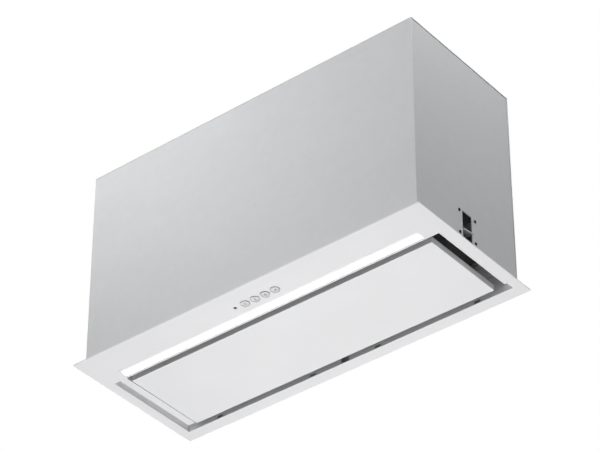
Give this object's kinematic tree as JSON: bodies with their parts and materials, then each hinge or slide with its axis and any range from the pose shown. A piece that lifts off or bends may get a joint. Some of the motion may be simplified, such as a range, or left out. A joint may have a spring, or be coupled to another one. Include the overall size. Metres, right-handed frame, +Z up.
{
  "type": "built-in range hood",
  "caption": "Built-in range hood: tall sheet-metal box over a thin white flange with a hinged perimeter-suction panel, a long light strip and round push buttons.",
  "frame": {"origin": "below the centre of the bottom frame, level with the faces of the button collars, which are the lowest points", "axes": "+X along the long side to the right, -Y towards the controls, +Z up to the duct outlet"},
  "size_m": [0.7, 0.292, 0.4266],
  "materials": {
    "white_paint": "smooth white powder coat",
    "grey_sheet": "satin galvanised sheet",
    "zinc_sheet": "galvanised sheet",
    "black_paint": "black powder coat",
    "spring_steel": "bright spring steel",
    "dark_steel": "black oxide",
    "filter_aluminium": "satin aluminium",
    "dark_plastic": "fine moulded grain",
    "light_diffuser": "opal diffuser",
    "button_plastic": "satin moulded",
    "grey_plastic": "moulded",
    "circuit_board": "solder mask",
    "capacitor": "plain sleeve"
  },
  "bodies": {
    "casing": {"bottom_frame": "white_paint", "cable_gland": "dark_plastic", "casing_wrapper": "grey_sheet", "control_board": "circuit_board", "control_housing": "button_plastic", "control_lead": "dark_plastic", "damper_pin": "spring_steel", "electronics_box": "grey_plastic", "electronics_cover": "grey_plastic", "filter_rail": "zinc_sheet", "filter_seat": "black_paint", "indicator_lens": "dark_plastic", "intake_chamber": "white_paint", "led_board": "circuit_board", "left_blower_housing": "grey_plastic", "left_catch_bracket": "zinc_sheet", "left_catch_screw_1": "dark_steel", "left_catch_screw_2": "dark_steel", "left_catch_screw_3": "dark_steel", "left_catch_screw_4": "dark_steel", "left_filter_frame": "filter_aluminium", "left_filter_mesh": "filter_aluminium", "left_hinge_bracket": "zinc_sheet", "light_channel": "filter_aluminium", "light_diffuser": "light_diffuser", "light_lead": "dark_plastic", "motor_body": "zinc_sheet", "motor_bracket": "zinc_sheet", "motor_capacitor": "capacitor", "motor_lead": "dark_plastic", "outlet_collar": "dark_plastic", "panel_magnet": "dark_plastic", "power_board": "circuit_board", "rear_cover": "grey_sheet", "right_blower_housing": "grey_plastic", "right_catch_bracket": "zinc_sheet", "right_catch_screw_1": "dark_steel", "right_catch_screw_2": "dark_steel", "right_catch_screw_3": "dark_steel", "right_catch_screw_4": "dark_steel", "right_filter_frame": "filter_aluminium", "right_filter_mesh": "filter_aluminium", "right_hinge_bracket": "zinc_sheet", "top_cover": "grey_sheet"},
    "suction_panel": {"suction_panel": "white_paint", "panel_backing": "zinc_sheet", "left_hinge_arm": "zinc_sheet", "right_hinge_arm": "zinc_sheet"},
    "impeller": {"impeller": "dark_plastic", "motor_shaft": "spring_steel"},
    "front_damper_flap": {"front_damper_flap": "dark_plastic"},
    "rear_damper_flap": {"rear_damper_flap": "dark_plastic"},
    "light_button": {"light_button": "button_plastic"},
    "low_speed_button": {"low_speed_button": "button_plastic"},
    "medium_speed_button": {"medium_speed_button": "button_plastic"},
    "high_speed_button": {"high_speed_button": "button_plastic"},
    "left_filter_latch": {"left_filter_latch": "dark_plastic"},
    "right_filter_latch": {"right_filter_latch": "dark_plastic"},
    "left_spring_catch": {"left_spring_catch": "spring_steel"},
    "right_spring_catch": {"right_spring_catch": "spring_steel"}
  },
  "joints": [
    {"name": "panel_hinge", "type": "hinge", "parent": "casing", "child": "suction_panel", "pos_m": [0, 0.098, 0.0216], "axis": [1, 0, 0], "range_deg": [0, 90]},
    {"name": "light_button_press", "type": "slide", "parent": "casing", "child": "light_button", "axis": [0, 0, 1], "range_m": [0, 0.0015], "stiffness_N_per_m": 1200, "springref_m": -0.0004},
    {"name": "low_speed_button_press", "type": "slide", "parent": "casing", "child": "low_speed_button", "axis": [0, 0, 1], "range_m": [0, 0.0015], "stiffness_N_per_m": 1200, "springref_m": -0.0004},
    {"name": "medium_speed_button_press", "type": "slide", "parent": "casing", "child": "medium_speed_button", "axis": [0, 0, 1], "range_m": [0, 0.0015], "stiffness_N_per_m": 1200, "springref_m": -0.0004},
    {"name": "high_speed_button_press", "type": "slide", "parent": "casing", "child": "high_speed_button", "axis": [0, 0, 1], "range_m": [0, 0.0015], "stiffness_N_per_m": 1200, "springref_m": -0.0004},
    {"name": "impeller_spin", "type": "hinge", "parent": "casing", "child": "impeller", "pos_m": [0, 0.018, 0.2296], "axis": [1, 0, 0], "continuous": true},
    {"name": "front_damper_hinge", "type": "hinge", "parent": "casing", "child": "front_damper_flap", "pos_m": [0, 0, 0.3926], "axis": [-1, 0, 0], "range_deg": [0, 80]},
    {"name": "rear_damper_hinge", "type": "hinge", "parent": "casing", "child": "rear_damper_flap", "pos_m": [0, 0, 0.3926], "axis": [1, 0, 0], "range_deg": [0, 80]},
    {"name": "left_latch_slide", "type": "slide", "parent": "casing", "child": "left_filter_latch", "axis": [0, 1, 0], "range_m": [0, 0.005], "stiffness_N_per_m": 600, "springref_m": -0.001},
    {"name": "right_latch_slide", "type": "slide", "parent": "casing", "child": "right_filter_latch", "axis": [0, 1, 0], "range_m": [0, 0.005], "stiffness_N_per_m": 600, "springref_m": -0.001},
    {"name": "left_catch_hinge", "type": "hinge", "parent": "casing", "child": "left_spring_catch", "pos_m": [-0.318, 0, 0.0626], "axis": [0, -1, 0], "range_deg": [0, 12], "stiffness_Nm_per_rad": 1.6, "springref_deg": -2.86},
    {"name": "right_catch_hinge", "type": "hinge", "parent": "casing", "child": "right_spring_catch", "pos_m": [0.318, 0, 0.0626], "axis": [0, 1, 0], "range_deg": [0, 12], "stiffness_Nm_per_rad": 1.6, "springref_deg": -2.86}
  ]
}
